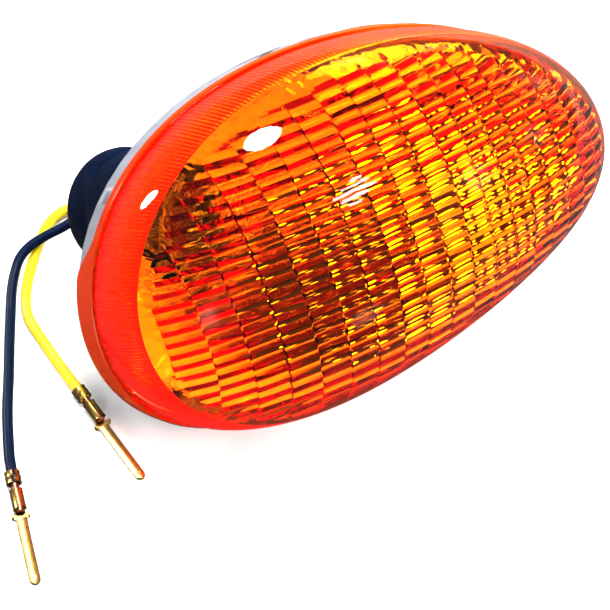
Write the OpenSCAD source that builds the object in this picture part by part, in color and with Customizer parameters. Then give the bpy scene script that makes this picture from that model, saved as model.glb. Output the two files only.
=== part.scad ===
// Turn signal lamp with an amber egg-shaped lens, a plug-in bulb holder and two leads.
// Millimetres. The lamp is drawn face up: x along its length, y up its face, z out of its face.
// rest_pose() then stands it on a table, leaning back on its rim and its rubber boot.

/* [Lens] */
// Length of the lens along its long axis
lens_length = 130; // [110:1:150]
// Height of the lens across its middle
lens_height = 74; // [64:1:84]
// Height of the dome above the skirt
dome_height = 29.5; // [24:0.5:34]
// Thickness of the lens wall
lens_wall = 2.4; // [1.8:0.1:3]
// Height of the plain skirt band round the lens
skirt_height = 2.1; // [1.5:0.1:3]

/* [Housing] */
// Thickness of the flange that carries the lens
flange_depth = 3.8; // [3:0.1:5]
// Depth of the housing behind its flange
housing_depth = 13; // [11:0.5:15]

/* [Bulb holder] */
// Outer radius of the rubber boot
boot_r = 13.5; // [13:0.1:15]
// Distance from the rim plane to the boot's rear face
boot_reach = 38.4; // [37:0.1:40]

/* [Leads] */
// Outer diameter of each lead
lead_d = 2.2; // [1.8:0.1:2.4]

/* [Hidden] */
$fn = 48;

// The rest pose: the lean, and the shift that puts the middle of the lamp's box over the origin
lean = 43.4;
rest_back = -5.41;
rest_lift = 27.14;

// The rim outline: an egg that is fuller at its left end, with its two ends drooping
half_len = lens_length / 2;
half_hgt = lens_height / 2;
egg = 0.18;
shoulder = 0.05;
droop = 6.5;
wrap = 6;
steps = 72;

// The dome: a superellipse over the outline, with its top moved towards the right end
dome_shift = 6.5;
dome_power = 0.71;
dome_rings = 13;
inner_rings = 11;
step_in = 0.65;

// The seal's groove in the flange
groove_out = 1.2;
groove_in = 2.4;
groove_depth = 1.4;
flange_inner = 4;

// The housing's bowl, and the reflector inside it
bowl_step = 3;
bowl_wall = 2.2;
bowl_rings = 7;
mirror_step = 5.8;
mirror_depth = 10.4;
mirror_wall = 1.2;

// The bulb's axis, and the collar that the holder plugs into
bulb_at = [-36.7, 13.4];
collar_in_r = 10.3;
collar_out_r = 12;
collar_end = -25;
collar_start = -12;
mirror_hole_r = 10.8;

// Places on the back of the housing
boss_at = [[-6, 21], [16, -10.7], [43, -1]];
boss_r = 6;
boss_end = -21.5;
boss_start = -13.2;
insert_r = 3.6;
insert_len = 7.5;
insert_bore_r = 2.1;
screw_at = [[-10, 6], [16, 14], [28, -9]];
screw_r = 1.5;
screw_hole_r = 1.7;
screw_head_r = 3;
screw_head_h = 2.2;
pad_end = -18;
pad_start = -13;
pad_r = 4.6;
post_r = 3;
post_top = -11.4;
screw_tip = -11.8;
vent_at = [30, 8];
vent_r = 4.4;
vent_stem_r = 1.5;
vent_cap_h = 1.8;

// The bulb: a bayonet cap with two pins, pushed against a sprung contact
cap_r = 7.5;
cap_rear = -27;
cap_front = -12;
glass_r = 9.2;
glass_neck_r = 6.9;
glass_wall = 0.6;
glass_ball = 1.8;
stem_top = -4;
filament_z = 1;
tip_end = -28.2;
pin_r = 1;
pin_z = -20.5;
pin_tip_r = 8.25;
push_travel = 1.8;
turn_travel = 25;
shell_in_r = 7.7;
shell_out_r = 8.3;
shell_front = -14;
shell_rear = -35.2;
slot_gap = 0.3;
slot_half_a = 10;
disc_r = 7.4;
disc_front = -29.2;
disc_rear = -30.3;
rivet_front = -28.3;
rivet_rear = -31.2;
rivet_r = 1.2;
rivet_tail_r = 2;
washer_t = 0.8;
spring_wire_r = 0.28;
spring_r = 5.4;
spring_turns = 2;

// The boot: a sleeve over the collar, a core inside it and a floor with two lead holes
sleeve_front = -19;
core_r = 10.25;
core_front = -16.5;
sleeve_in_r = 12.05;
groove_floor = -25.3;
boot_floor = -35.4;
lead_r = lead_d / 2;
lead_spread = 3;
boot_round = 2;

// The leads' routes, in the row's axes: out of the boot, along the table, into the terminals
black_route = [[-39.7, 29.7, 9.5], [-39.7, 32.5, 6.6], [-41, 34.4, 4.7], [-44.2, 35.2, 3.8], [-48.4, 34.8, 3.5],
               [-53, 34.6, 3.5], [-57.1, 34, 3.5], [-60.6, 32.4, 3.4], [-63.4, 29.9, 2.9], [-65.8, 27, 2],
               [-67.9, 23.8, 1.3], [-69.9, 20.6, 1.2], [-72.4, 16.6, 1.2], [-76.8, 9.4, 1.2],
               [-80.7, 3.2, 1.2], [-83.5, -1.8, 1.2], [-86.1, -6.8, 1.5], [-87.6, -10.4, 1.7],
               [-88.5, -12.9, 1.7]];
yellow_route = [[-33.7, 29.7, 9.5], [-33.7, 33, 6.1], [-34.4, 35.6, 3.7], [-36.6, 37.8, 2.1], [-40, 39.2, 1.4],
                [-44, 39.9, 1.2], [-48, 39.3, 1.2], [-51.4, 37.4, 1.2], [-54.8, 34.5, 1.2], [-58.2, 31.2, 1.2],
                [-61.6, 27.4, 1.2], [-64.4, 23.4, 1.2], [-65.9, 20, 1.2], [-66.3, 16.6, 1.2], [-66.4, 12, 1.2],
                [-66.4, 6, 1.2], [-66.4, 2, 1.5], [-66.3, -0.9, 1.7], [-66.2, -3.5, 1.7]];
black_heading = -109;
yellow_heading = -88;
lead_sides = 8;

// A terminal: two crimps, a neck with ears and a flat blade with a round nose
sheet = 0.4;
grip_len = 2.6;
grip_gap = 1.4;
crimp_len = 4.2;
neck_len = 2;
neck_w = 3.6;
blade_w = 2.2;
blade_t = 0.6;
terminal_len = 24;
grip_r = 1.55;
crimp_r = 1.3;
strand_r = 0.8;
terminal_foot = -1.6;

// A point of the rim outline at angle t
function outline(t) = [half_len * cos(t),
    half_hgt * sin(t) * (1 - egg * cos(t) + shoulder * cos(2 * t)) - droop * (pow(cos(t), 2) - 0.5)];

// How far the rim plane curves back at a distance x along the lamp
function wrapped(x, z) = z - wrap * pow(x / half_len, 2);

// A ring of the outline moved in by inset, shrunk by grow about the centre, at depth z
function ring(n, inset, z, grow = 1, shift = 0) =
    [for (i = [0:n - 1])
        let (o = outline(360 * i / n),
             x = o[0] * (1 - inset / half_len) * grow + shift,
             y = o[1] * (1 - inset / half_hgt) * grow)
        [x, y, wrapped(x, z)]];

// The rings of a bowl that rises by rise over the outline: each is smaller and further on
function bowl_ring_list(n, count, inset, base, rise, shift) =
    [for (k = [0:count - 1])
        let (q = 88 * k / (count - 1), size = cos(q))
        ring(n, inset, base + rise * pow(sin(q), dome_power), size, shift * (1 - size))];

// Two triangles for the patch between a ring and the next one
function patch(a, b, c, d, flip) = flip ? [[a, c, b], [a, d, c]] : [[a, b, c], [a, c, d]];

function strip(n, lower, upper, flip) =
    [for (i = [0:n - 1])
        let (j = (i + 1) % n)
        each patch(lower + i, upper + i, upper + j, lower + j, flip)];

function fan(n, start, flip) = [[for (i = [0:n - 1]) start + (flip ? i : n - 1 - i)]];

// A shell between an outer and an inner list of rings, both from the rim to the closed end
module shell(n, outer, inner, flip = false) {
    a = len(outer);
    b = len(inner);
    inner_start = a * n;
    polyhedron(
        points = [for (r = concat(outer, inner)) each r],
        faces = concat(
            [for (k = [0:a - 2]) each strip(n, k * n, (k + 1) * n, flip)],
            fan(n, (a - 1) * n, flip),
            [for (k = [0:b - 2]) each strip(n, inner_start + k * n, inner_start + (k + 1) * n, !flip)],
            fan(n, inner_start + (b - 1) * n, !flip),
            strip(n, 0, inner_start, !flip)));
}

// A closed ring with the given section, each corner an [inset, z] pair
module band(n, corners) {
    m = len(corners);
    polyhedron(
        points = [for (c = corners) each ring(n, c[0], c[1])],
        faces = [for (k = [0:m - 1]) each strip(n, k * n, ((k + 1) % m) * n, false)]);
}

// A round tube swept through the points of a route, with its first and last rings turned square
function unit(v) = v / norm(v);
function heading(path, i) =
    unit(path[min(i + 1, len(path) - 1)] - path[max(i - 1, 0)]);
function tube_ring(at, along, r, sides) =
    let (side = unit(cross(along, abs(along[2]) > 0.9 ? [0, 1, 0] : [0, 0, 1])), up = cross(side, along))
    [for (i = [0:sides - 1]) at + r * (cos(360 * i / sides) * side + sin(360 * i / sides) * up)];

module tube(path, r, first, last) {
    n = lead_sides;
    count = len(path);
    rings = [for (i = [0:count - 1])
        tube_ring(path[i], i == 0 ? first : i == count - 1 ? last : heading(path, i), r, n)];
    polyhedron(
        points = [for (q = rings) each q],
        faces = concat(
            [for (k = [0:count - 2]) each strip(n, k * n, (k + 1) * n, true)],
            fan(n, 0, false),
            fan(n, (count - 1) * n, true)));
}

// A smooth path through hand-placed points: each span is cut into equal steps of a cubic
function spline_point(a, b, c, d, t) =
    0.5 * ((2 * b) + (c - a) * t + (2 * a - 5 * b + 4 * c - d) * t * t + (3 * b - a - 3 * c + d) * t * t * t);
function smooth(path, steps) =
    concat(
        [for (i = [0:len(path) - 2])
            let (a = path[max(i - 1, 0)], b = path[i], c = path[i + 1], d = path[min(i + 2, len(path) - 1)])
            each [for (s = [0:steps - 1]) spline_point(a, b, c, d, s / steps)]],
        [path[len(path) - 1]]);

// Moves the face-up drawing to where the lamp rests on the table
module rest_pose() {
    translate([0, rest_back, rest_lift]) rotate([lean, 0, 0]) children();
}

module on_bulb_axis() {
    translate([bulb_at[0], bulb_at[1], 0]) children();
}

module rod(r, from, to) {
    translate([0, 0, from]) cylinder(r = r, h = to - from);
}

module lens() {
    outer = concat(
        [ring(steps, 0, 0), ring(steps, 0, skirt_height)],
        bowl_ring_list(steps, dome_rings, step_in, skirt_height, dome_height, dome_shift));
    inner = concat(
        [ring(steps, lens_wall, 0)],
        bowl_ring_list(steps, inner_rings, lens_wall + step_in, skirt_height, dome_height - lens_wall,
                       dome_shift));
    color("orange") rest_pose() shell(steps, outer, inner);
}

module lens_seal() {
    color("dimgray") rest_pose()
        band(steps, [[groove_in, -groove_depth], [groove_in, 0], [groove_out, 0], [groove_out, -groove_depth]]);
}

module housing_skin() {
    outer = concat(
        [ring(steps, 0, 0), ring(steps, 0, -flange_depth)],
        bowl_ring_list(steps, bowl_rings, bowl_step, -flange_depth, -housing_depth, 0));
    inner = concat(
        [ring(steps, groove_out, 0), ring(steps, groove_out, -groove_depth),
         ring(steps, groove_in, -groove_depth), ring(steps, groove_in, 0),
         ring(steps, flange_inner, 0)],
        bowl_ring_list(steps, bowl_rings, bowl_step + bowl_wall, bowl_wall - flange_depth,
                       -housing_depth, 0));
    shell(steps, outer, inner, true);
}

module housing() {
    color("gainsboro") rest_pose() difference() {
        union() {
            housing_skin();
            on_bulb_axis() rod(collar_out_r, collar_end, collar_start);
            for (p = boss_at) translate([p[0], p[1], 0]) rod(boss_r, boss_end, boss_start);
            for (p = screw_at) translate([p[0], p[1], 0]) rod(pad_r, pad_end, pad_start);
            translate([vent_at[0], vent_at[1], 0]) rod(pad_r, pad_end, pad_start);
        }
        on_bulb_axis() rod(collar_in_r, collar_end - 1, 0);
        for (p = boss_at) translate([p[0], p[1], 0]) rod(insert_r, boss_end - 1, boss_end + insert_len);
        for (p = screw_at) translate([p[0], p[1], 0]) rod(screw_hole_r, pad_end - 1, 0);
        translate([vent_at[0], vent_at[1], 0]) rod(vent_stem_r, pad_end - 1, 0);
    }
}

// The aluminised mirror behind the bulb, with a screw post behind it at each screw
module reflector() {
    back = concat(
        [ring(steps, mirror_step, -0.6)],
        bowl_ring_list(steps, bowl_rings, mirror_step, -1.8, -mirror_depth, 0));
    front = concat(
        [ring(steps, mirror_step + mirror_wall, -0.6)],
        bowl_ring_list(steps, bowl_rings, mirror_step + mirror_wall, -1.8 + mirror_wall, -mirror_depth, 0));
    color("silver") rest_pose() difference() {
        union() {
            shell(steps, back, front, true);
            for (p = screw_at) translate([p[0], p[1], 0]) rod(post_r, pad_start, post_top);
        }
        on_bulb_axis() rod(mirror_hole_r, -30, 2);
        for (p = screw_at) translate([p[0], p[1], 0]) rod(screw_r, pad_start - 1, screw_tip);
    }
}

module reflector_screws() {
    color("lightgray") rest_pose()
        for (p = screw_at) translate([p[0], p[1], 0]) difference() {
            union() {
                rod(screw_r, pad_end, screw_tip);
                rod(screw_head_r, pad_end - screw_head_h, pad_end);
            }
            for (a = [0, 90]) rotate([0, 0, a])
                translate([-2, -0.35, pad_end - screw_head_h - 1]) cube([4, 0.7, 2]);
        }
}

module vent_cap() {
    color("black") rest_pose() translate([vent_at[0], vent_at[1], 0]) difference() {
        union() {
            rod(vent_r, pad_end - vent_cap_h, pad_end);
            rod(vent_stem_r, pad_end, pad_start + 0.6);
        }
        rod(vent_stem_r / 2, pad_end - vent_cap_h - 1, pad_start + 1);
    }
}

module insert(at) {
    color("goldenrod") rest_pose() translate([at[0], at[1], 0]) difference() {
        union() {
            rod(insert_r, boss_end, boss_end + insert_len);
            rod(insert_r + 1, boss_end - 0.6, boss_end);
        }
        rod(insert_bore_r, boss_end - 1, boss_end + insert_len + 1);
    }
}

module insert_upper() { insert(boss_at[0]); }
module insert_lower() { insert(boss_at[1]); }
module insert_outer() { insert(boss_at[2]); }

// A wedge cut through the shell's wall, from one angle to another and one depth to another
module wall_cut(from_a, to_a, from_z, to_z) {
    rotate([0, 0, from_a]) rotate_extrude(angle = to_a - from_a)
        translate([shell_in_r - 1, from_z]) square([shell_out_r - shell_in_r + 2, to_z - from_z]);
}

// The slots that the bulb's pins enter by, and the window in which they push and turn
module pin_slots() {
    window_rear = pin_z - push_travel - pin_r - slot_gap;
    window_front = pin_z + pin_r + slot_gap;
    for (side = [0, 180]) rotate([0, 0, side]) {
        wall_cut(-turn_travel - slot_half_a, slot_half_a, window_rear, window_front);
        wall_cut(-turn_travel - slot_half_a, slot_half_a - turn_travel, window_rear, shell_front + 1);
    }
}

module holder_shell() {
    color("silver") rest_pose() on_bulb_axis() difference() {
        rod(shell_out_r, shell_rear, shell_front);
        rod(shell_in_r, shell_rear + washer_t, shell_front + 1);
        rod(shell_in_r - 1.5, shell_rear - 1, shell_rear + washer_t + 1);
        pin_slots();
    }
}

// The fibre washer that the spring stands on, with a hole for each lead's core
module holder_washer() {
    color("peru") rest_pose() on_bulb_axis() difference() {
        rod(shell_in_r, shell_rear + washer_t, shell_rear + 2 * washer_t);
        rod(rivet_tail_r + 0.6, shell_rear, shell_rear + 3);
        for (s = [-1, 1]) translate([s * 2 * lead_spread, 0, 0]) rod(0.9, shell_rear, shell_rear + 3);
    }
}

module boot() {
    color("midnightblue") rest_pose() on_bulb_axis() difference() {
        union() {
            rod(boot_r, -boot_reach + boot_round, sleeve_front);
            rod(boot_r - boot_round, -boot_reach, -boot_reach + boot_round);
            translate([0, 0, -boot_reach + boot_round]) rotate_extrude()
                translate([boot_r - boot_round, 0]) circle(r = boot_round, $fn = 32);
            rod(core_r, -30, core_front);
        }
        difference() {
            rod(sleeve_in_r, groove_floor, sleeve_front + 5);
            rod(core_r, groove_floor - 1, sleeve_front + 6);
        }
        rod(shell_out_r, boot_floor, core_front + 1);
        for (s = [-1, 1]) translate([s * lead_spread, 0, 0]) rod(lead_r, -boot_reach - 1, boot_floor + 1);
    }
}

// The spring under the contact, drawn at its pressed length
module contact_spring() {
    pitch = 2 * spring_wire_r + 0.05;
    base = shell_rear + 2 * washer_t + spring_wire_r;
    color("gray") rest_pose() on_bulb_axis()
        for (k = [0:spring_turns - 1]) translate([0, 0, base + k * pitch])
            rotate_extrude() translate([spring_r, 0]) circle(r = spring_wire_r, $fn = 16);
}

module contact_disc() {
    color("saddlebrown") rest_pose() on_bulb_axis() difference() {
        rod(disc_r, disc_rear, disc_front);
        rod(rivet_r, disc_rear - 1, disc_front + 1);
    }
}

module contact_rivet() {
    color("gold") rest_pose() on_bulb_axis() union() {
        rod(rivet_r, rivet_rear, rivet_front);
        rod(2.6, disc_front, rivet_front);
        rod(rivet_tail_r, rivet_rear, disc_rear);
    }
}

module bulb_cap() {
    color("silver") rest_pose() on_bulb_axis() difference() {
        union() {
            rod(cap_r, cap_rear, cap_front);
            rotate([90, 0, 90]) translate([0, pin_z, 0])
                cylinder(r = pin_r, h = 2 * pin_tip_r, center = true);
        }
        rod(cap_r - 2.4, cap_rear - 1, cap_rear + 1.2);
        rod(glass_neck_r, cap_rear + 5, cap_front + 1);
        rod(0.8, cap_rear, cap_front);
    }
}

module bulb_insulator() {
    color("black") rest_pose() on_bulb_axis() rod(cap_r - 2.4, cap_rear - 0.4, cap_rear + 1.2);
}

module bulb_tip() {
    color("lightgray") rest_pose() on_bulb_axis() rod(2.2, tip_end, cap_rear - 0.4);
}

// Half the outline of a pear: a neck of the given radius, then a round end
function pear(neck_r, ball_r, from) = concat(
    [[0, from], [neck_r, from], [neck_r, cap_front + 1]],
    [for (a = [-40:10:80]) [ball_r * cos(a), glass_ball + ball_r * sin(a)]],
    [[0, glass_ball + ball_r]]);

module bulb_glass() {
    color("aliceblue") rest_pose() on_bulb_axis() rotate_extrude() difference() {
        polygon(pear(glass_neck_r, glass_r, cap_front - 2));
        polygon(pear(glass_neck_r - glass_wall, glass_r - glass_wall, cap_front - 3));
    }
}

// The glass post in the neck that carries the filament's wires
module bulb_stem() {
    color("lightblue") rest_pose() on_bulb_axis() union() {
        rod(glass_neck_r - glass_wall, cap_front - 2, cap_front - 1.2);
        rod(2, cap_front - 1.2, stem_top);
    }
}

module bulb_filament() {
    color("dimgray") rest_pose() on_bulb_axis() {
        for (s = [-1, 1]) translate([s * 1.4, 0, 0]) rod(0.25, stem_top, filament_z);
        translate([-1.6, 0, filament_z]) rotate([0, 90, 0]) cylinder(r = 0.5, h = 3.2);
    }
}

// The direction that a terminal points in, and the point where it begins
function flat_heading(a) = [cos(a), sin(a), 0];
function last_point(path) = path[len(path) - 1];

module lead(path, a) {
    tube(smooth(path, 2), lead_r, [0, sin(lean), -cos(lean)], flat_heading(a));
}

module lead_black() {
    color("midnightblue") lead(black_route, black_heading);
}

module lead_yellow() {
    color("gold") lead(yellow_route, yellow_heading);
}

// Draws a terminal's parts along x, from the end of its lead
module at_lead_end(path, a) {
    translate(last_point(path)) rotate([0, 0, a]) children();
}

module strands(path, a) {
    color("peru") at_lead_end(path, a) rotate([0, 90, 0]) cylinder(r = strand_r, h = grip_gap + crimp_len + 0.4);
}

module strands_black() { strands(black_route, black_heading); }
module strands_yellow() { strands(yellow_route, yellow_heading); }

// A crimp barrel round the lead, split along its top where its two wings roll in
module barrel(r, bore, from, length) {
    difference() {
        translate([from, 0, 0]) rotate([0, 90, 0]) cylinder(r = r, h = length);
        translate([from - 1, 0, 0]) rotate([0, 90, 0]) cylinder(r = bore, h = length + 2);
        translate([from - 1, -0.15, 0]) cube([length + 2, 0.3, r + 1]);
    }
}

module terminal(path, a) {
    crimp_from = grip_gap;
    neck_from = crimp_from + crimp_len;
    blade_from = neck_from + neck_len;
    blade_end = terminal_len - grip_len;
    color("gold") at_lead_end(path, a) union() {
        barrel(grip_r, lead_r, -grip_len, grip_len);
        barrel(crimp_r, strand_r, crimp_from, crimp_len);
        translate([-0.6, -0.7, terminal_foot]) cube([neck_from + 1.2, 1.4, sheet]);
        translate([neck_from - 0.2, -neck_w / 2, terminal_foot]) cube([neck_len, neck_w, sheet]);
        for (s = [-1, 1]) translate([neck_from, s * (neck_w / 2 - sheet / 2) - sheet / 2, terminal_foot])
            cube([neck_len - 0.6, sheet, 1.5]);
        translate([neck_from, -blade_w / 2, terminal_foot])
            cube([blade_end - neck_from - blade_w / 2, blade_w, blade_t]);
        translate([blade_end - blade_w / 2, 0, terminal_foot]) cylinder(r = blade_w / 2, h = blade_t);
        translate([blade_from + 1, 0, terminal_foot + blade_t]) cylinder(r = 0.5, h = 0.2);
    }
}

module terminal_black() { terminal(black_route, black_heading); }
module terminal_yellow() { terminal(yellow_route, yellow_heading); }

lens();
lens_seal();
housing();
reflector();
reflector_screws();
vent_cap();
insert_upper();
insert_lower();
insert_outer();
holder_shell();
holder_washer();
boot();
contact_spring();
contact_disc();
contact_rivet();
bulb_cap();
bulb_insulator();
bulb_tip();
bulb_glass();
bulb_stem();
bulb_filament();
lead_black();
lead_yellow();
strands_black();
strands_yellow();
terminal_black();
terminal_yellow();
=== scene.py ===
"""The looks of a turn signal lamp: an amber lens over a reflector and a bulb, a rubber boot and two leads.

Lamp axes are millimetres, face up: x along the lamp, y up its face, z out of its face.
"""

import math

import bmesh
import bpy
import numpy as np
from mathutils import Matrix, Quaternion, Vector
from mathutils.geometry import delaunay_2d_cdt


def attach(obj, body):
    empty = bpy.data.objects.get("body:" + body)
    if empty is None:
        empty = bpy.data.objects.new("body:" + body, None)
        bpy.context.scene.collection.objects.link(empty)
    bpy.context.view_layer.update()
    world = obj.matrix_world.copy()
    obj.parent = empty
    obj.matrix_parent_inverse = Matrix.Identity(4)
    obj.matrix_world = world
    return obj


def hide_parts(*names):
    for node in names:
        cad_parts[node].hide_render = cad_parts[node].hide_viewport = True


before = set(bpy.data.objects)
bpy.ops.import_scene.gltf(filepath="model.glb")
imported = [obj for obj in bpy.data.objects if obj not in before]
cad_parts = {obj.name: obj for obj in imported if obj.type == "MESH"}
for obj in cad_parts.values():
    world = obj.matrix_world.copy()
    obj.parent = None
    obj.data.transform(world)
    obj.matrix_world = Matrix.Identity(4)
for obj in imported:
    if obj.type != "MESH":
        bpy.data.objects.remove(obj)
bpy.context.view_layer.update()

MM = 0.001
# The lamp is turned up by LEAN from lying face up, and its origin lies at REST.
LEAN = math.radians(43.4)
REST = (0.0, -5.41, 27.14)


# ---------------------------------------------------------------- shapes shared by the pieces


def to_row(points):
    """Lamp axes in millimetres to the row frame in metres."""
    p = np.asarray(points, float).reshape(-1, 3)
    y = p[:, 1] * math.cos(LEAN) - p[:, 2] * math.sin(LEAN) + REST[1]
    z = p[:, 1] * math.sin(LEAN) + p[:, 2] * math.cos(LEAN) + REST[2]
    return np.stack([p[:, 0] + REST[0], y, z], 1) * MM


# The rim is an egg that sags at its ends, and its plane falls by RIM_FALL there.
HALF_LEN, HALF_HGT = 65.0, 37.0
EGG_TAPER, EGG_WAVE, EGG_SAG = 0.18, 0.05, 6.5
RIM_FALL = 6
DOME_BASE, DOME_RISE, DOME_POWER, DOME_SHIFT = 2.1, 29.5, 0.71, 6.5
STEP_IN, WALL = 0.65, 2.4
RIM_SAMPLES, HALVINGS = 1441, 36


def rim(t):
    """The egg-shaped rim at angles t, in lamp axes without its depth."""
    x = HALF_LEN * np.cos(t)
    egg = 1 - EGG_TAPER * np.cos(t) + EGG_WAVE * np.cos(2 * t)
    y = HALF_HGT * np.sin(t) * egg - EGG_SAG * (np.cos(t) ** 2 - 0.5)
    return x, y


def rim_ring(t, inset, z, size=1.0, shift=0.0):
    """A ring of the rim moved in by inset and shrunk by size, at depth z behind the curved rim plane."""
    x, y = rim(t)
    x = x * (1 - inset / HALF_LEN) * size + shift
    y = y * (1 - inset / HALF_HGT) * size
    return np.stack([x, y, z - RIM_FALL * (x / HALF_LEN) ** 2], -1)


def dome_ring(t, angle, inset, rise):
    """A ring of the dome, angle being 0 at its foot and 90 degrees at its top."""
    a = math.radians(angle)
    size = math.cos(a)
    return rim_ring(t, inset, DOME_BASE + rise * math.sin(a) ** DOME_POWER, size, DOME_SHIFT * (1 - size))


def dome_height(x, y, inset, rise):
    """The dome's depth z over points x, y, and the size of the ring through each."""
    t = np.linspace(-np.pi, np.pi, RIM_SAMPLES)
    rx, ry = rim(t)
    rx, ry = rx * (1 - inset / HALF_LEN), ry * (1 - inset / HALF_HGT)
    angle, reach = np.arctan2(ry, rx), np.hypot(rx, ry)
    order = np.argsort(angle)
    angle, reach = angle[order], reach[order]
    low, high = np.full(x.shape, 1e-3), np.ones(x.shape)
    for _ in range(HALVINGS):
        size = (low + high) / 2
        u, v = (x - DOME_SHIFT * (1 - size)) / size, y / size
        outside = np.hypot(u, v) > np.interp(np.arctan2(v, u), angle, reach, period=2 * np.pi)
        low, high = np.where(outside, size, low), np.where(outside, high, size)
    size = (low + high) / 2
    z = DOME_BASE + rise * np.maximum(1 - size**2, 0) ** (DOME_POWER / 2) - RIM_FALL * (x / HALF_LEN) ** 2
    return z, size


def between(lo, hi, x):
    """0 below lo, 1 above hi, smooth between."""
    u = np.clip((x - lo) / (hi - lo), 0, 1)
    return u * u * (3 - 2 * u)


def add_object(name, verts, faces, sharp):
    """A mesh object with its faces outward, smooth except across edges sharper than sharp degrees."""
    mesh = bpy.data.meshes.new(name)
    mesh.from_pydata([tuple(v) for v in verts], [], faces)
    mesh.validate()
    bm = bmesh.new()
    bm.from_mesh(mesh)
    bmesh.ops.recalc_face_normals(bm, faces=bm.faces)
    bm.to_mesh(mesh)
    bm.free()
    mesh.polygons.foreach_set("use_smooth", [True] * len(mesh.polygons))
    mesh.set_sharp_from_angle(angle=math.radians(sharp))
    piece = bpy.data.objects.new(name, mesh)
    bpy.context.scene.collection.objects.link(piece)
    return piece


def strip(faces, a, b, n):
    """Quads between two closed rings of n vertices that start at a and b."""
    faces.extend((a + i, a + (i + 1) % n, b + (i + 1) % n, b + i) for i in range(n))


def lathe(name, profile, place, sides, sharp):
    """A closed ring of (radius, z) points turned about the z axis; place maps lamp axes to the row."""
    turn = np.linspace(0, 2 * np.pi, sides, endpoint=False)
    verts, faces = [], []
    for r, z in profile:
        verts.append(np.stack([r * np.cos(turn), r * np.sin(turn), np.full(sides, z)], 1))
    for k in range(len(profile)):
        strip(faces, k * sides, ((k + 1) % len(profile)) * sides, sides)
    return add_object(name, place(np.concatenate(verts)), faces, sharp)


# ---------------------------------------------------------------- materials


# Most of a noise texture's values lie between these.
NOISE_LOW, NOISE_HIGH = 0.3, 0.7
# The reflector's patch of painted shade round the bulb, as a scaled and moved distance, and its colours inside
# and outside.
PATCH_SCALE, PATCH_PLACE, PATCH_FROM, PATCH_TO = (24.0, 0.0, 66.0), (0.26, 0.0, -1.48), 0.72, 1.15
PAINTED_SHADE, PLATING = (0.68, 0.27, 0.1), (0.93, 0.94, 0.95)
# An amber's painted light and shade, a darker red to the left turning lighter orange to the right, runs
# between these distances, in metres, from a point left of the lens.
SHIFT_PLACE, SHIFT_FROM, SHIFT_TO = (0.07, 0.0, 0.0), 0.015, 0.085
AMBER_SHADOW, AMBER_DEPTH, AMBER_DENSITY = (1.0, 0.84, 0.45), (0.998, 0.918, 0.0), 2200.0
GLASS_SHADOW = (0.92, 0.93, 0.92)


def new_material(name):
    """A material, its node tree and its main shader."""
    m = bpy.data.materials.new(name)
    m.use_nodes = True
    nt = m.node_tree
    return m, nt, nt.nodes["Principled BSDF"]


def noise(nt, scale, detail=4.0, rough=0.55, stretch=(1, 1, 1)):
    """A noise texture in object space, with scale per metre."""
    where = nt.nodes.new("ShaderNodeTexCoord")
    mapping = nt.nodes.new("ShaderNodeMapping")
    mapping.inputs["Scale"].default_value = stretch
    n = nt.nodes.new("ShaderNodeTexNoise")
    n.inputs["Scale"].default_value = scale
    n.inputs["Detail"].default_value = detail
    n.inputs["Roughness"].default_value = rough
    nt.links.new(where.outputs["Object"], mapping.inputs["Vector"])
    nt.links.new(mapping.outputs["Vector"], n.inputs["Vector"])
    return n


def ramp(nt, source, stops):
    """A colour ramp fed by source, its stops being (position, colour)."""
    r = nt.nodes.new("ShaderNodeValToRGB")
    while len(r.color_ramp.elements) < len(stops):
        r.color_ramp.elements.new(0.5)
    for element, (position, colour) in zip(r.color_ramp.elements, stops):
        element.position = position
        element.color = (*colour, 1)
    nt.links.new(source, r.inputs["Fac"])
    return r.outputs["Color"]


def scaled(nt, source, low, high):
    """A noise value moved to the range low to high."""
    m = nt.nodes.new("ShaderNodeMapRange")
    m.inputs["From Min"].default_value = NOISE_LOW
    m.inputs["From Max"].default_value = NOISE_HIGH
    m.inputs["To Min"].default_value = low
    m.inputs["To Max"].default_value = high
    nt.links.new(source, m.inputs["Value"])
    return m.outputs["Result"]


def bump(nt, shader, source, strength, distance=0.0001):
    """A fine relief on the shader's surface, distance being in metres."""
    b = nt.nodes.new("ShaderNodeBump")
    b.inputs["Strength"].default_value = strength
    b.inputs["Distance"].default_value = distance
    nt.links.new(source, b.inputs["Height"])
    nt.links.new(b.outputs["Normal"], shader.inputs["Normal"])


def worn(name, dark, light, rough, scale=900.0, grain=0.12, metallic=0.0, specular=0.5, stretch=(1, 1, 1)):
    """A moulded or metal finish: two close colours in a fine mottle, uneven gloss and a fine grain."""
    m, nt, s = new_material(name)
    broad = noise(nt, scale / 6, 3.0)
    fine = noise(nt, scale, 5.0, 0.6, stretch)
    mottle = ramp(nt, broad.outputs["Fac"], [(NOISE_LOW, dark), (NOISE_HIGH, light)])
    nt.links.new(mottle, s.inputs["Base Color"])
    nt.links.new(scaled(nt, fine.outputs["Fac"], *rough), s.inputs["Roughness"])
    s.inputs["Metallic"].default_value = metallic
    s.inputs["Specular IOR Level"].default_value = specular
    bump(nt, s, fine.outputs["Fac"], grain)
    return m


def how_far(nt, scale, offset, low, high):
    """0 to 1 as the distance of the piece's own point, scaled and moved, goes from low to high."""
    where = nt.nodes.new("ShaderNodeTexCoord")
    move = nt.nodes.new("ShaderNodeMapping")
    move.inputs["Scale"].default_value = scale
    move.inputs["Location"].default_value = offset
    length = nt.nodes.new("ShaderNodeVectorMath")
    length.operation = "LENGTH"
    fit = nt.nodes.new("ShaderNodeMapRange")
    fit.interpolation_type = "SMOOTHSTEP"
    fit.inputs["From Min"].default_value = low
    fit.inputs["From Max"].default_value = high
    nt.links.new(where.outputs["Object"], move.inputs["Vector"])
    nt.links.new(move.outputs["Vector"], length.inputs[0])
    nt.links.new(length.outputs["Value"], fit.inputs["Value"])
    return fit.outputs["Result"]


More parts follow.
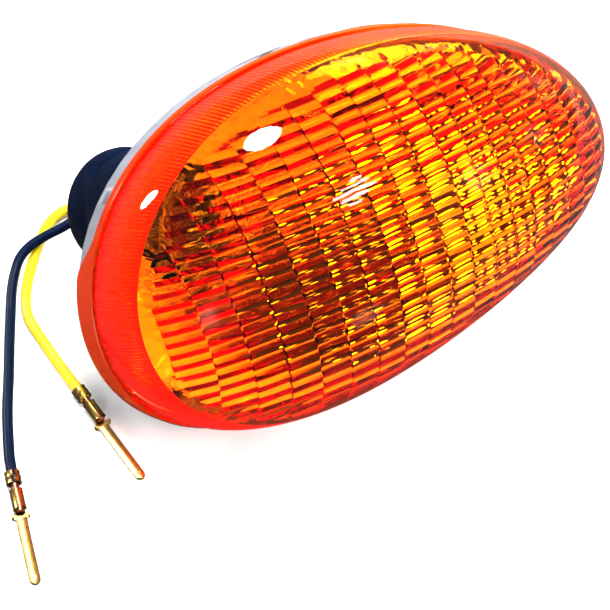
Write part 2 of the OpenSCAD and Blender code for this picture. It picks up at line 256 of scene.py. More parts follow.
def plated(name):
    """The reflector: bright plating, satin towards its edge, with painted shade as a darker long patch round
    the bulb.
    """
    m, nt, s = new_material(name)
    shade_patch = how_far(nt, PATCH_SCALE, PATCH_PLACE, PATCH_FROM, PATCH_TO)
    fine = noise(nt, 500.0, 5.0)
    # Painted shade: the metal is coloured darker inside the patch round the bulb.
    nt.links.new(ramp(nt, shade_patch, [(0.0, PAINTED_SHADE), (1.0, PLATING)]), s.inputs["Base Color"])
    nt.links.new(ramp(nt, shade_patch, [(0.0, (1.0, 1.0, 1.0)), (1.0, (0.12, 0.12, 0.12))]), s.inputs["Metallic"])
    nt.links.new(scaled(nt, fine.outputs["Fac"], 0.05, 0.1), s.inputs["Roughness"])
    bump(nt, s, fine.outputs["Fac"], 0.03)
    return m


def send(nt, shader, ray, kind, colour):
    """Sends one kind of ray to a plain shader of its own, and the others to the main shader."""
    plain = nt.nodes.new(kind)
    plain.inputs["Color"].default_value = (*colour, 1)
    path = nt.nodes.new("ShaderNodeLightPath")
    mix = nt.nodes.new("ShaderNodeMixShader")
    nt.links.new(path.outputs[ray], mix.inputs["Fac"])
    nt.links.new(shader.outputs["BSDF"], mix.inputs[1])
    nt.links.new(plain.outputs["BSDF"], mix.inputs[2])
    nt.links.new(mix.outputs["Shader"], nt.nodes["Material Output"].inputs["Surface"])


def amber(name, tint, clear=1.0, rough=0.02, far=None):
    """Amber lens plastic: redder where it is thick, letting light through to what is behind it.

    Its tint shifts to far, where one is given, towards the lamp's right end, as painted light and shade.
    """
    m, nt, s = new_material(name)
    s.inputs["Base Color"].default_value = (*tint, 1)
    if far:
        # Painted light and shade: lighter towards the lamp's right end.
        right = how_far(nt, (1.0, 0.0, 0.0), SHIFT_PLACE, SHIFT_FROM, SHIFT_TO)
        nt.links.new(ramp(nt, right, [(0.0, tint), (1.0, far)]), s.inputs["Base Color"])
    s.inputs["Roughness"].default_value = rough
    s.inputs["IOR"].default_value = 1.49
    s.inputs["Specular IOR Level"].default_value = 0.12
    s.inputs["Transmission Weight"].default_value = clear
    ripple = noise(nt, 260.0, 2.0)
    bump(nt, s, ripple.outputs["Fac"], 0.06, 0.0003)
    send(nt, s, "Is Shadow Ray", "ShaderNodeBsdfTransparent", AMBER_SHADOW)
    depth = nt.nodes.new("ShaderNodeVolumeAbsorption")
    depth.inputs["Color"].default_value = (*AMBER_DEPTH, 1)
    depth.inputs["Density"].default_value = AMBER_DENSITY
    nt.links.new(depth.outputs["Volume"], nt.nodes["Material Output"].inputs["Volume"])
    return m


def clear_glass(name, tint):
    """The bulb's glass, slightly wavy, with a light shadow."""
    m, nt, s = new_material(name)
    s.inputs["Base Color"].default_value = (*tint, 1)
    s.inputs["Roughness"].default_value = 0.0
    s.inputs["IOR"].default_value = 1.5
    s.inputs["Transmission Weight"].default_value = 1.0
    bump(nt, s, noise(nt, 180.0, 2.0).outputs["Fac"], 0.03, 0.0003)
    send(nt, s, "Is Shadow Ray", "ShaderNodeBsdfTransparent", GLASS_SHADOW)
    return m


FINISH = {
    "amber_lens": amber("amber_lens", (1.0, 0.83, 0.12)),
    # The wall's and skirt's darker reds are painted shade, turning lighter towards the right as painted light.
    "amber_wall": amber("amber_wall", (1.0, 0.055, 0.0), 0.45, 0.12, (1.0, 0.16, 0.0)),
    "amber_skirt": amber("amber_skirt", (0.36, 0.02, 0.0), 0.08, 0.2, (0.6, 0.045, 0.0)),
    # The risers' darker amber is painted shade: dark lines along each row of bricks.
    "amber_riser": amber("amber_riser", (0.5, 0.17, 0.01)),
    "seal": worn("seal", (0.025, 0.025, 0.027), (0.045, 0.045, 0.048), (0.55, 0.75)),
    "housing": worn("housing", (0.13, 0.136, 0.156), (0.165, 0.172, 0.195), (0.3, 0.42), 1500.0, 0.1, 0, 0.3),
    "reflector": plated("reflector"),
    "steel": worn("steel", (0.50, 0.50, 0.51), (0.66, 0.66, 0.67), (0.22, 0.38), 1600.0, 0.1, 1.0),
    "vent": worn("vent", (0.02, 0.02, 0.02), (0.04, 0.04, 0.042), (0.45, 0.65)),
    "brass": worn("brass", (0.56, 0.34, 0.08), (0.70, 0.46, 0.13), (0.26, 0.34), 1400.0, 0.06, 1.0),
    "fibre": worn("fibre", (0.30, 0.15, 0.07), (0.42, 0.23, 0.12), (0.6, 0.8), 700.0, 0.4, 0, 0.3, (1, 6, 1)),
    "boot": worn("boot", (0.0004, 0.002, 0.009), (0.0007, 0.0035, 0.014), (0.4, 0.55), 1300.0, 0.15, 0, 0.03),
    "glass": clear_glass("glass", (0.97, 0.98, 0.98)),
    "black_glass": worn("black_glass", (0.01, 0.01, 0.012), (0.02, 0.02, 0.024), (0.08, 0.16), 800.0, 0.05),
    "nickel": worn("nickel", (0.58, 0.55, 0.50), (0.74, 0.71, 0.66), (0.18, 0.32), 1500.0, 0.08, 1.0),
    "lead_black": worn("lead_black", (0.0008, 0.0035, 0.014), (0.0016, 0.006, 0.022), (0.3, 0.42),
                       1600.0, 0.1, 0, 0.12),
    "lead_yellow": worn("lead_yellow", (0.72, 0.50, 0.004), (0.86, 0.64, 0.012), (0.28, 0.42), 1600.0, 0.1),
    "copper": worn("copper", (0.60, 0.24, 0.12), (0.82, 0.40, 0.22), (0.25, 0.4), 1500.0, 0.2, 1.0),
}


def finished(piece, slot, body):
    """Gives a new piece the finish named by slot and the body it rides on."""
    piece.data.materials.clear()
    piece.data.materials.append(FINISH[slot])
    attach(piece, body)


# ---------------------------------------------------------------- camera


EYE, LOOK_AT = Vector((-158.54, -120.33, 277.76)), Vector((-20.35, -14.84, 18.22))
ROLL, LENS, SENSOR = 19.5, 87.4, 36.0
NEAR, FAR = 0.01, 20.0


def add_camera():
    """The camera at EYE, aimed at LOOK_AT and rolled."""
    data = bpy.data.cameras.new("camera")
    data.lens, data.sensor_width = LENS, SENSOR
    data.clip_start, data.clip_end = NEAR, FAR
    cam = bpy.data.objects.new("camera", data)
    cam.location = EYE * MM
    back = (EYE - LOOK_AT).normalized()
    cam.rotation_mode = "QUATERNION"
    cam.rotation_quaternion = back.to_track_quat("Z", "Y") @ Quaternion((0, 0, 1), math.radians(ROLL))
    bpy.context.scene.collection.objects.link(cam)
    bpy.context.scene.camera = cam


add_camera()


# ---------------------------------------------------------------- leads

LEAD_D = 2.2
BLACK_ROUTE = [
    (-39.7, 29.7, 9.5), (-39.7, 32.5, 6.6), (-41, 34.4, 4.7), (-44.2, 35.2, 3.8), (-48.4, 34.8, 3.5),
    (-53, 34.6, 3.5), (-57.1, 34, 3.5), (-60.6, 32.4, 3.4), (-63.4, 29.9, 2.9), (-65.8, 27, 2),
    (-67.9, 23.8, 1.3), (-69.9, 20.6, 1.2), (-72.4, 16.6, 1.2), (-76.8, 9.4, 1.2), (-80.7, 3.2, 1.2),
    (-83.5, -1.8, 1.2), (-86.1, -6.8, 1.5), (-87.6, -10.4, 1.7), (-88.5, -12.9, 1.7),
]
YELLOW_ROUTE = [
    (-33.7, 29.7, 9.5), (-33.7, 33, 6.1), (-34.4, 35.6, 3.7), (-36.6, 37.8, 2.1), (-40, 39.2, 1.4),
    (-44, 39.9, 1.2), (-48, 39.3, 1.2), (-51.4, 37.4, 1.2), (-54.8, 34.5, 1.2), (-58.2, 31.2, 1.2),
    (-61.6, 27.4, 1.2), (-64.4, 23.4, 1.2), (-65.9, 20, 1.2), (-66.3, 16.6, 1.2), (-66.4, 12, 1.2),
    (-66.4, 6, 1.2), (-66.4, 2, 1.5), (-66.3, -0.9, 1.7), (-66.2, -3.5, 1.7),
]
BLACK_HEADING, YELLOW_HEADING = -109.0, -88.0


def add_lead(name, route, slot):
    """A lead as one curve through its route, each handle a sixth of the way between its neighbours."""
    curve = bpy.data.curves.new(name, "CURVE")
    curve.dimensions = "3D"
    curve.bevel_depth = LEAD_D / 2 * MM
    curve.bevel_resolution = 6
    curve.resolution_u = 8
    curve.use_fill_caps = True
    spline = curve.splines.new("BEZIER")
    spline.bezier_points.add(len(route) - 1)
    points = [Vector(p) * MM for p in route]
    for i, knot in enumerate(spline.bezier_points):
        reach = (points[min(i + 1, len(points) - 1)] - points[max(i - 1, 0)]) / 6
        knot.co = points[i]
        knot.handle_left = points[i] - reach
        knot.handle_right = points[i] + reach
    piece = bpy.data.objects.new(name, curve)
    bpy.context.scene.collection.objects.link(piece)
    finished(piece, slot, "holder")
    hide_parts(slot)


# ---------------------------------------------------------------- terminals


# A rolled sheet's flared mouths are MOUTH long, and its upper half is flattened by SQUASH.
MOUTH, SQUASH, ROLL_POINTS = 0.3, 0.06, 28
# The terminal's underside below the lead's axis, its sheet's thickness and how far edges are eased.
FOOT, SHEET, EASED = -1.6, 0.4, 0.06
# The blade's half width, where it starts, where its nose starts, and where points lie across it.
BLADE_HALF, BLADE_FROM, BLADE_NOSE = 1.1, 7.0, 20.2
BLADE_ACROSS = [-1, -0.94, -0.8, -0.55, -0.3, -0.08, -0.03, 0.03, 0.08, 0.3, 0.55, 0.8, 0.94, 1]
# The pip's place along the blade, its radius, and its top above the underside.
PIP_X, PIP_R, PIP_TOP = 19.8, 0.55, 0.68


def rolled(verts, faces, x0, x1, radius, thick, start, end, flare):
    """A sheet rolled round the x axis from angle start to end, with its two mouths flared."""
    xs = [x0, x0 + MOUTH, (x0 + x1) / 2, x1 - MOUTH, x1]
    outs = [flare, 0.0, 0.0, 0.0, flare]
    angles = np.radians(np.linspace(start, end, ROLL_POINTS))
    first = len(verts)
    for x, out in zip(xs, outs):
        for r in (radius - thick + out, radius + out):
            for a in angles:
                squash = 1.0 - SQUASH * max(math.sin(a), 0)
                verts.append((x, r * math.cos(a), r * math.sin(a) * squash))
    n = len(angles)

    def at(i, layer, k):
        return first + (i * 2 + layer) * n + k

    last = len(xs) - 1
    for i in range(last):
        for k in range(n - 1):
            for layer in (0, 1):
                near, far = at(i, layer, k), at(i + 1, layer, k)
                faces.append((near, near + 1, far + 1, far))
        for k in (0, n - 1):
            faces.append((at(i, 0, k), at(i, 1, k), at(i + 1, 1, k), at(i + 1, 0, k)))
    for i in (0, last):
        for k in range(n - 1):
            faces.append((at(i, 0, k), at(i, 1, k), at(i, 1, k + 1), at(i, 0, k + 1)))


def slab(verts, faces, outline, z0, z1, edge):
    """A flat plate with eased edges, from its outline in x and y."""
    ring = np.array(outline, float)
    n = len(ring)

    def unit(rows):
        return rows / np.linalg.norm(rows, axis=1)[:, None]

    side = unit(np.roll(ring, -1, 0) - ring) + unit(ring - np.roll(ring, 1, 0))
    inward = unit(np.stack([-side[:, 1], side[:, 0]], 1))
    first = len(verts)
    for inset, z in [(edge, z0), (0, z0 + edge), (0, z1 - edge), (edge, z1)]:
        verts.extend((x, y, z) for x, y in ring + inward * inset)
    for k in range(3):
        strip(faces, first + k * n, first + (k + 1) * n, n)
    faces.append(tuple(range(first, first + n)))
    faces.append(tuple(range(first + 3 * n, first + 4 * n)))


def blade(verts, faces, foot):
    """The blade: folded from one sheet, so its top is crowned, with a fine seam and a round nose."""
    half = BLADE_HALF
    nose = [BLADE_NOSE + half * math.sin(a) for a in np.radians(range(12, 90, 11))]
    xs = [BLADE_FROM] + list(np.linspace(7.4, BLADE_NOSE, 12)) + nose
    across = np.array(BLADE_ACROSS)
    top = foot + 0.6 - 0.17 * across**2 - 0.06 * (np.abs(across) < 0.05) - 0.1 * (np.abs(across) > 0.99)
    n = len(across)
    first = len(verts)
    for x in xs:
        width = half
        if x >= BLADE_NOSE:
            width = math.sqrt(max(half**2 - (x - BLADE_NOSE) ** 2, 0.0)) + 0.02
        ends = 0.25 * (1 - width / half)
        verts.extend((x, width * a, z - ends * 0.5) for a, z in zip(across, top))
        verts.extend((x, width * a, foot + 0.03 + ends * 0.3) for a in (0.9, -0.9))
    m = n + 2
    for k in range(len(xs) - 1):
        strip(faces, first + k * m, first + (k + 1) * m, m)
    faces.append(tuple(range(first, first + m)))
    faces.append(tuple(range(first + (len(xs) - 1) * m, first + len(xs) * m)))


def add_terminal(side, route, heading):
    """A stamped terminal: grips on the jacket, a crimp on the strands, a neck with ears and a blade.

    The blade carries a low raised pip near its nose.
    """
    verts, faces = [], []
    foot = FOOT
    rolled(verts, faces, -2.6, -1.35, 1.55, 0.4, -265, 70, 0.06)
    rolled(verts, faces, -1.25, 0.0, 1.55, 0.4, -250, 85, 0.06)
    rolled(verts, faces, 1.4, 5.6, 1.3, 0.42, -262, 82, 0.1)
    spine = [(-2.3, -0.6), (6.4, -0.7), (6.4, 0.7), (-2.3, 0.6)]
    neck = [(5.4, -0.9), (6.1, -1.1), (6.3, -1.8), (7.0, -1.8), (7.2, -1.1),
            (7.2, 1.1), (7.0, 1.8), (6.3, 1.8), (6.1, 1.1), (5.4, 0.9)]
    for outline in (spine, neck):
        slab(verts, faces, outline, foot, foot + SHEET, EASED)
    for s in (-1, 1):
        y0, y1 = sorted((s * 1.78, s * 1.4))
        slab(verts, faces, [(6.3, y0), (7.0, y0), (7.0, y1), (6.3, y1)], foot, foot + 1.2, 0.08)
    blade(verts, faces, foot)
    round_it = np.linspace(0, 2 * np.pi, 20, endpoint=False)
    pip = [(PIP_X + PIP_R * math.cos(a), PIP_R * math.sin(a)) for a in round_it]
    slab(verts, faces, pip, foot + SHEET, foot + PIP_TOP, 0.14)
    p = np.array(verts)
    cos, sin = math.cos(math.radians(heading)), math.sin(math.radians(heading))
    turned = np.stack([p[:, 0] * cos - p[:, 1] * sin, p[:, 0] * sin + p[:, 1] * cos, p[:, 2]], 1)
    piece = add_object("crimp_blade_" + side, (turned + np.array(route[-1])) * MM, faces, 32)
    finished(piece, "brass", "holder")
    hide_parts("terminal_" + side)
    return piece


TERMINALS = {
    "black": add_terminal("black", BLACK_ROUTE, BLACK_HEADING),
    "yellow": add_terminal("yellow", YELLOW_ROUTE, YELLOW_HEADING),
}
add_lead("wire_black", BLACK_ROUTE, "lead_black")
add_lead("wire_yellow", YELLOW_ROUTE, "lead_yellow")


# ---------------------------------------------------------------- lens

INNER_INSET, INNER_RISE = WALL + STEP_IN, DOME_RISE - WALL
ROW_LINES, RISER_LINE = 9, 5
COLUMN, ROW = 6.13, 2.4
FIRST_COLUMN = -57.09
COLUMNS, ROWS = 19, 28
FLUTES, TOOTH = 388, 0.42
SKIRT_DROP, SKIRT_STRIPS, DOME_RINGS = 3.95, 5, 56
BRICK_STAGGER, RIDGE, BULGE = 0.55, 1.05, 0.2
# The plain band's rings: each one's angle up the dome, and the step between the points it keeps.
# They stay BAND_GAP clear of the bricks.
BAND = [(16.5, 1), (18.5, 2), (21, 2), (24, 2), (28, 4), (32, 4), (36, 4), (41, 4), (46, 8)]
BAND_GAP = 0.7


def covered(t):
    """1 where the lens's skirt wraps down over the flange, 0 along the upper left where the flange shows."""
    d = np.degrees(t) % 360
    return np.where(d < 120, 1 - between(74, 88, d), between(152, 163, d))


def scatter(a, b):
    """A fixed, uneven number from -1 to 1 for each pair of whole numbers."""
    return np.modf(np.abs(np.sin(a * 12.99 + b * 78.23) * 437.58))[0] * 2 - 1


def brick_lines():
    """The lines of the brick optics: x, y and how far each point stands in from the inside of the dome."""
    across = [0.015, 0.17, 0.34, 0.5, 0.66, 0.83, 0.985]
    up = [0.03, 0.16, 0.3, 0.42, 0.5, 0.58, 0.76, 0.97]
    xs, us, cs = [], [], []
    for i in range(COLUMNS):
        xs.append(FIRST_COLUMN + i * COLUMN)
        us.append(-1.0)
        cs.append(i - 0.5)
        for u in across:
            xs.append(FIRST_COLUMN + (i + u) * COLUMN)
            us.append(u)
            cs.append(i)
    xs.append(FIRST_COLUMN + COLUMNS * COLUMN)
    us.append(-1.0)
    cs.append(COLUMNS - 0.5)
    ys, vs = [], []
    for j in range(ROWS):
        ys.append((j - ROWS / 2) * ROW)
        vs.append(-1.0)
        for v in up:
            ys.append((j + v - ROWS / 2) * ROW)
            vs.append(v)
    ys.append(ROWS / 2 * ROW)
    vs.append(-1.0)
    x, y = np.meshgrid(xs, ys, indexing="ij")
    u, v = np.meshgrid(us, vs, indexing="ij")
    c = np.array(cs)[:, None]
    y = y + BRICK_STAGGER * ((c * 1.37) % 2.0)
    fall = 1 - ((np.clip(v, 0.5, 1) - 0.5) * 2) ** 1.2
    ridge = np.where(v < 0.5, np.sin(np.clip(v, 0, 0.5) * np.pi), fall)
    u = np.where(u < 0, np.roll(u, -1, 0), u)
    row = np.repeat(np.arange(ROWS + 1), len(up) + 1)[: len(ys)][None, :]
    odd = scatter(np.floor(c + 0.5), row)
    tilt = 0.3 + 0.16 * scatter(np.floor(c + 0.5), 0 * row) + 0.1 * odd
    depth = (RIDGE + 0.08 * odd) * np.where(v < 0, 0.0, ridge) + tilt * u + BULGE * (1 - (2 * u - 1) ** 2)
    return x, y, depth


def uneven(points, angle):
    """The plain band's mottle: each point stands a little in or out, most at the upper left."""
    count = len(points)
    strength = 0.05 + 0.17 * between(0, 25, points[:, 1]) * between(-5, 25, -points[:, 0])
    points[:, 2] -= strength * scatter(np.arange(count), angle)
    return points


def block(verts, points):
    """Adds points to the list and returns the number of the first."""
    start = sum(len(v) for v in verts)
    verts.append(points)
    return start


def around(face):
    """The pairs of neighbouring corners round a face."""
    return zip(face, face[1:] + face[:1])


def edge_key(a, b):
    """One name for an edge, whichever way it runs."""
    return (min(a, b), max(a, b))


def outer_skin(verts, faces, t):
    """The outside: the skirt, a small step in, then the dome. Returns the skirt's lower ring."""
    n = len(t)
    c = covered(t)
    profile = [(-0.3 * c, -SKIRT_DROP * c), (-0.34 * c, -3.6 * c), (-0.3 * c, 0.2 + 0 * t), (0.0, 1.7),
               (0.12, 2.0), (0.36, DOME_BASE), (0.6, DOME_BASE)]
    rings = [block(verts, rim_ring(t, inset, z)) for inset, z in profile]
    for k in range(DOME_RINGS):
        angle = 89.2 * (k / (DOME_RINGS - 1)) ** 1.35
        rings.append(block(verts, dome_ring(t, angle, STEP_IN, DOME_RISE)))
    for a, b in zip(rings, rings[1:]):
        strip(faces, a, b, n)
    faces.append(tuple(range(rings[-1], rings[-1] + n)))
    return rings[0]


def inner_wall(verts, faces, t, outer):
    """The inside of the skirt, the face on the flange and the fluted wall. Returns the last ring."""
    tooth = TOOTH * (np.arange(len(t)) % 2)
    profile = [(0.03, -SKIRT_DROP * covered(t)), (0.03, 0.0), (WALL, 0.0)]
    rings = [block(verts, rim_ring(t, inset, z)) for inset, z in profile]
    for angle, deep in [(0, 1), (2.5, 1), (5, 1), (8, 1), (11, 1), (13.5, 0.85), (15, 0.0)]:
        points = dome_ring(t, angle, INNER_INSET, INNER_RISE)
        out = dome_ring(t, angle, INNER_INSET - 1.0, INNER_RISE)
        rings.append(block(verts, points + (out - points) * (tooth * deep)[:, None]))
    for a, b in zip([outer] + rings, rings):
        strip(faces, a, b, len(t))
    return rings[-1]


def bricks(verts, faces):
    """The rows of bricks. Returns the numbers of their points, their riser faces and their border."""
    x, y, depth = brick_lines()
    z, size = dome_height(x, y, INNER_INSET, INNER_RISE)
    limit = 0.9 + 0.045 * between(10, 45, -x) - 0.06 * between(10, 45, x)
    inside = (size < limit) & (x > FIRST_COLUMN - 0.1)
    keep = inside[:-1, :-1] & inside[1:, :-1] & inside[:-1, 1:] & inside[1:, 1:]
    used = np.zeros(x.shape, bool)
    for di in (0, 1):
        for dj in (0, 1):
            used[di : di + keep.shape[0], dj : dj + keep.shape[1]] |= keep
    fade = between(0.0, 0.34, limit - size)
    first = block(verts, np.stack([x, y, z - depth * (0.3 + 0.7 * fade)], -1)[used])
    number = np.full(x.shape, -1)
    number[used] = np.arange(used.sum()) + first
    risers, count = [], {}
    for i, j in np.argwhere(keep):
        if j % ROW_LINES >= RISER_LINE:
            risers.append(len(faces))
        quad = (number[i, j], number[i + 1, j], number[i + 1, j + 1], number[i, j + 1])
        faces.append(tuple(int(q) for q in quad))
        for a, b in around(quad):
            count[edge_key(a, b)] = count.get(edge_key(a, b), 0) + 1
    border = [pair for pair, times in count.items() if times == 1]
    return number[used], risers, border


def reachable(tris, start, fixed):
    """The triangles that start reaches without crossing a fixed edge."""
    beside = {}
    for k, tri in enumerate(tris):
        for a, b in around(tri):
            beside.setdefault(edge_key(a, b), []).append(k)
    todo = list(start)
    found = set(todo)
    while todo:
        for a, b in around(tris[todo.pop()]):
            if edge_key(a, b) in fixed:
                continue
            for other in beside[edge_key(a, b)]:
                if other not in found:
                    found.add(other)
                    todo.append(other)
    return found


def plain_band(verts, faces, t, edge, bricked, border):
    """The uneven band of triangles between the wall's last ring and the bricks' border."""
    n = len(t)
    first = [block(verts, uneven(dome_ring(t[::skip], angle, INNER_INSET, INNER_RISE), angle))
             for angle, skip in BAND][0]
    every = np.concatenate(verts)
    near = dome_height(every[first:, 0], every[first:, 1], INNER_INSET, INNER_RISE)[1]
    grid_points = every[bricked]
    free = []
    for k in range(first, len(every)):
        close = np.abs(grid_points[:, :2] - every[k, :2]).max(1).min()
        if close > BAND_GAP and near[k - first] > 0.5:
            free.append(k)
    rim_loop = list(range(edge, edge + n))
    ids = rim_loop + sorted({int(a) for pair in border for a in pair}) + free
    place = {k: i for i, k in enumerate(ids)}
    edges = [(place[a], place[b]) for a, b in around(rim_loop)]
    edges += [(place[int(a)], place[int(b)]) for a, b in border]
    flat = [Vector((every[k, 0], every[k, 1])) for k in ids]
    _, _, tris, origin, _, _ = delaunay_2d_cdt(flat, edges, [], 0, 1e-6)
    fixed = {edge_key(ids[a], ids[b]) for a, b in edges}
    tris = [tuple(ids[origin[v][0]] for v in tri) for tri in tris]
    free_set = set(free)
    start = [k for k, tri in enumerate(tris) if any(v in free_set for v in tri)]
    faces.extend(tris[k] for k in reachable(tris, start, fixed))


def lens_mesh():
    """The lens as one closed solid: its points, its faces, and the faces of each further amber."""
    verts, faces = [], []
    t = np.linspace(0, 2 * np.pi, FLUTES * 2, endpoint=False)
    outer = outer_skin(verts, faces, t)
    first_wall = len(faces)
    edge = inner_wall(verts, faces, t, outer)
    walls = range(first_wall, len(faces))
    bricked, risers, border = bricks(verts, faces)
    plain_band(verts, faces, t, edge, bricked, border)
    parts = {"amber_riser": risers, "amber_skirt": range(SKIRT_STRIPS * len(t)), "amber_wall": walls}
    return np.concatenate(verts), faces, parts


def add_lens():
    """The lens, with darker ambers of their own, painted shade, for its risers, its skirt and its wall."""
    points, faces, parts = lens_mesh()
    piece = add_object("lens_shell", to_row(points), faces, 34)
    finished(piece, "amber_lens", "head")
    for index, (amber_name, members) in enumerate(parts.items(), 1):
        piece.data.materials.append(FINISH[amber_name])
        for k in members:
            piece.data.polygons[k].material_index = index
    loose = bmesh.new()
    loose.from_mesh(piece.data)
    bmesh.ops.delete(loose, geom=[v for v in loose.verts if not v.link_faces], context="VERTS")
    loose.to_mesh(piece.data)
    loose.free()
    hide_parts("lens")


add_lens()


# ---------------------------------------------------------------- boot

BULB_X, BULB_Y = -36.7, 13.4
BOOT_R, BOOT_EDGE, BOOT_LIP = 13.5, 3.2, 0.9
EXIT_BLACK_X = -3.0


def on_bulb_axis(points):
    """Points about the bulb's axis, moved to the row."""
    return to_row(points + np.array([BULB_X, BULB_Y, 0.0]))


def add_boot():
    """The rubber boot: a sleeve with a rounded lip and rear edge, and a core that plugs into the collar.

    The black lead leaves through a nub. The yellow lead's nub is missing.
    """
    r = BOOT_R
    edge, lip = np.radians(range(15, 91, 12)), np.radians(range(15, 91, 25))
    profile = [(8.3, -35.4), (0.2, -35.4), (0.2, -38.3), (7.0, -38.4), (9.5, -38.3)]
    profile += [(r - BOOT_EDGE + BOOT_EDGE * math.sin(a), -35.2 - BOOT_EDGE * math.cos(a)) for a in edge]
    profile += [(r, -33.0), (r, -27.6), (r - 0.12, -27.4), (r - 0.12, -26.9), (r, -26.7), (r, -20.0)]
    profile += [(r - BOOT_LIP + BOOT_LIP * math.cos(a), -19.9 + BOOT_LIP * math.sin(a)) for a in lip]
    profile += [(12.2, -19.0), (12.05, -19.3), (12.05, -25.3), (10.25, -25.3), (10.25, -17.0), (9.9, -16.5)]
    profile += [(8.6, -16.5), (8.3, -16.8)]
    piece = lathe("boot_rubber", profile, on_bulb_axis, 128, 50)
    finished(piece, "boot", "holder")
    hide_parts("boot")
    nub = [(1.12, -38.0), (1.12, -39.9), (1.5, -39.9), (1.75, -39.6), (2.1, -38.6), (2.5, -38.2), (2.5, -38.0)]
    aside = np.array([EXIT_BLACK_X, 0, 0.0])
    collar = lathe("exit_black", nub, lambda p: on_bulb_axis(p + aside), 40, 50)
    finished(collar, "boot", "holder")


add_boot()


# ---------------------------------------------------------------- the CAD pieces that stay

NODE_SLOTS = {
    "lens_seal": "seal", "housing": "housing", "reflector": "reflector", "reflector_screws": "steel",
    "vent_cap": "vent", "insert_upper": "brass", "insert_lower": "brass", "insert_outer": "brass",
    "holder_shell": "steel", "holder_washer": "fibre", "contact_spring": "steel", "contact_disc": "fibre",
    "contact_rivet": "brass", "bulb_cap": "nickel", "bulb_insulator": "black_glass", "bulb_tip": "steel",
    "bulb_glass": "glass", "bulb_stem": "glass", "bulb_filament": "steel", "strands_black": "copper",
    "strands_yellow": "copper",
}
# Points nearer than COINCIDENT metres are joined. Edges bent by more than CREASE degrees stay sharp.
COINCIDENT, CREASE = 1e-9, 32


def rounded_shading():
    """A modifier's nodes: join points that coincide, then shade smooth except across sharp edges."""
    group = bpy.data.node_groups.new("rounded_shading", "GeometryNodeTree")
    for way in ("INPUT", "OUTPUT"):
        group.interface.new_socket("Geometry", in_out=way, socket_type="NodeSocketGeometry")
    kinds = ["NodeGroupInput", "GeometryNodeMergeByDistance", "GeometryNodeSetShadeSmooth",
             "GeometryNodeSetShadeSmooth", "NodeGroupOutput"]
    chain = [group.nodes.new(kind) for kind in kinds]
    for before, after in zip(chain, chain[1:]):
        group.links.new(before.outputs[0], after.inputs[0])
    weld, creases = chain[1], chain[3]
    weld.inputs["Distance"].default_value = COINCIDENT
    creases.domain = "EDGE"
    creases.inputs["Shade Smooth"].default_value = False
    angle = group.nodes.new("GeometryNodeInputMeshEdgeAngle")
    sharper = group.nodes.new("FunctionNodeCompare")
    sharper.inputs[1].default_value = math.radians(CREASE)
    group.links.new(angle.outputs["Unsigned Angle"], sharper.inputs[0])
    group.links.new(sharper.outputs["Result"], creases.inputs["Selection"])
    return group


SHADING = rounded_shading()
for node, slot in NODE_SLOTS.items():
    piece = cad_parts[node]
    for i in range(len(piece.data.materials)):
        piece.data.materials[i] = FINISH[slot]
    piece.modifiers.new("shading", "NODES").node_group = SHADING


# ---------------------------------------------------------------- floor and light


FLOOR_HALF, FLOOR_DARK, FLOOR_LIGHT = 0.85, (0.80, 0.80, 0.80), (0.82, 0.82, 0.82)
FLOOR_REFLECTED = (0.05, 0.05, 0.05)
LAMP = (-5, 0, 30)
KEYS = [("key_top", (-58, 170, 654), (150, 215), 4.2), ("key_left", (-385, 500, 190), (75, 150), 2.6)]
SLAT_LENGTHS, SLAT_WIDTH, SLAT_POWER, SLAT_AIM = (30, 68, 96, 68, 30), 9.5, 0.7e-3, (-18, -15, 58)
PANEL_FAR, PANEL_AIM = 800, (0, 0, 20)
RIGHT_PANELS = [
    ("right_front", (0.6, -0.67, 0.44), (420, 420), 9.0), ("right_low", (0.98, 0, 0.2), (420, 300), 20.0),
    ("right_back", (0.6, 0.67, 0.44), (420, 420), 30.0),
]
GLINTS = [
    (0.62, -0.6, 0.5), (0.95, 0.1, 0.24), (0.55, 0.7, 0.45), (0.8, -0.3, 0.3), (0.1, -0.95, 0.25),
    (-0.6, -0.6, 0.4), (0.75, 0.5, 0.25),
]
# The world's strength when seen directly, otherwise, and what a reflection takes off it.
WORLD_DIRECT, WORLD_OTHER, WORLD_GLOSSY = 1.0, 0.22, -0.12


def add_floor():
    """A white table top, darker where it is seen in a reflection."""
    m, nt, s = new_material("table_top")
    grain = noise(nt, 40.0, 3.0)
    mottle = ramp(nt, grain.outputs["Fac"], [(NOISE_LOW, FLOOR_DARK), (NOISE_HIGH, FLOOR_LIGHT)])
    nt.links.new(mottle, s.inputs["Base Color"])
    s.inputs["Roughness"].default_value = 0.6
    s.inputs["Specular IOR Level"].default_value = 0.2
    send(nt, s, "Is Glossy Ray", "ShaderNodeBsdfDiffuse", FLOOR_REFLECTED)
    bm = bmesh.new()
    bmesh.ops.create_grid(bm, x_segments=8, y_segments=8, size=FLOOR_HALF)
    mesh = bpy.data.meshes.new("table")
    bm.to_mesh(mesh)
    bm.free()
    floor = bpy.data.objects.new("table", mesh)
    mesh.materials.append(m)
    bpy.context.scene.collection.objects.link(floor)


def add_area(name, place, aim, size, watts, along=(1, 0, 0)):
    """A soft light at a place, facing a point, both in millimetres, its width running along a direction.

    Unequal sides make it a rectangle.
    """
    data = bpy.data.lights.new(name, "AREA")
    data.shape = "DISK" if size[0] == size[1] else "RECTANGLE"
    data.size = size[0] * MM
    if data.shape == "RECTANGLE":
        data.size_y = size[1] * MM
    data.energy = watts
    light = bpy.data.objects.new(name, data)
    away = (Vector(place) - Vector(aim)).normalized()
    side = (Vector(along) - away * away.dot(Vector(along))).normalized()
    turn = Matrix((side, away.cross(side), away)).transposed().to_4x4()
    light.matrix_world = Matrix.Translation(Vector(place) * MM) @ turn
    bpy.context.scene.collection.objects.link(light)
    return light


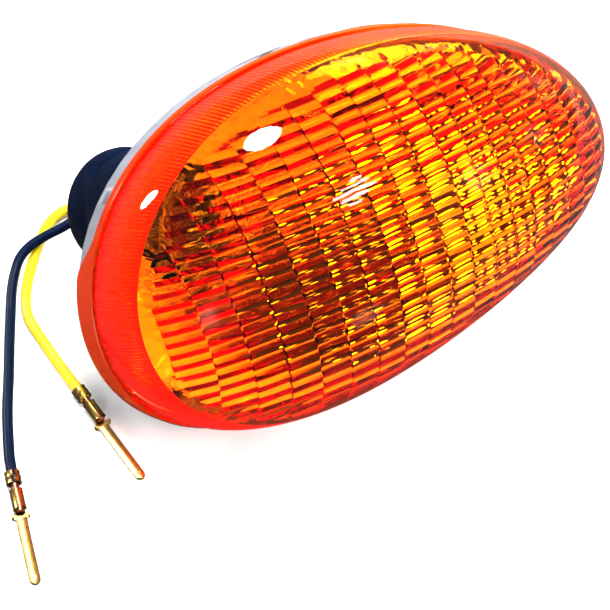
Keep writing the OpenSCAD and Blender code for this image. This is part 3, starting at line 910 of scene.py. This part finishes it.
def add_panel(name, direction, size, watts):
    """A panel that lights the table and what the lens lets through, without a reflection on the lens."""
    panel = add_area(name, Vector(direction).normalized() * PANEL_FAR, PANEL_AIM, size, watts)
    panel.visible_glossy = False
    return panel


def add_lights():
    """Two keys and five slats that show in the lens, and panels that light without a reflection."""
    for name, place, size, watts in KEYS:
        add_area(name, place, LAMP, size, watts).data.shape = "ELLIPSE"
    for k, length in zip((-2, -1, 0, 1, 2), SLAT_LENGTHS):
        slat = (72 - 5 * k, -290 - 14.5 * k, 402 - 10.5 * k)
        size, watts = (length, SLAT_WIDTH), SLAT_POWER * length
        add_area("slat_%d" % (k + 2), slat, SLAT_AIM, size, watts, (1, 0.13, -0.1))
    sky = add_panel("sky", (0, 0.1, 1), (1300, 1300), 5.5)
    sky.visible_transmission = False
    for panel in RIGHT_PANELS:
        add_panel(*panel)
    for k, direction in enumerate(GLINTS):
        glint = add_panel("glint_%d" % k, direction, (110, 110), 3.2)
        glint.visible_diffuse = False
    add_panel("left_front", (-0.6, -0.67, 0.44), (260, 260), 2.5)


def add_world():
    """A white world: bright when seen directly, dim as a light and dimmer in a reflection."""
    world = bpy.data.worlds.new("studio")
    world.use_nodes = True
    nt = world.node_tree
    backdrop = nt.nodes["Background"]
    backdrop.inputs["Color"].default_value = (1, 1, 1, 1)
    seen = nt.nodes.new("ShaderNodeLightPath")
    dim = nt.nodes.new("ShaderNodeMapRange")
    dim.inputs["To Min"].default_value = WORLD_OTHER
    dim.inputs["To Max"].default_value = WORLD_DIRECT
    nt.links.new(seen.outputs["Is Camera Ray"], dim.inputs["Value"])
    calm = nt.nodes.new("ShaderNodeMath")
    calm.operation = "MULTIPLY_ADD"
    calm.inputs[1].default_value = WORLD_GLOSSY
    nt.links.new(seen.outputs["Is Glossy Ray"], calm.inputs[0])
    nt.links.new(dim.outputs["Result"], calm.inputs[2])
    nt.links.new(calm.outputs["Value"], backdrop.inputs["Strength"])
    bpy.context.scene.world = world


add_floor()
add_lights()
add_world()
bpy.context.scene.view_settings.view_transform = "Standard"
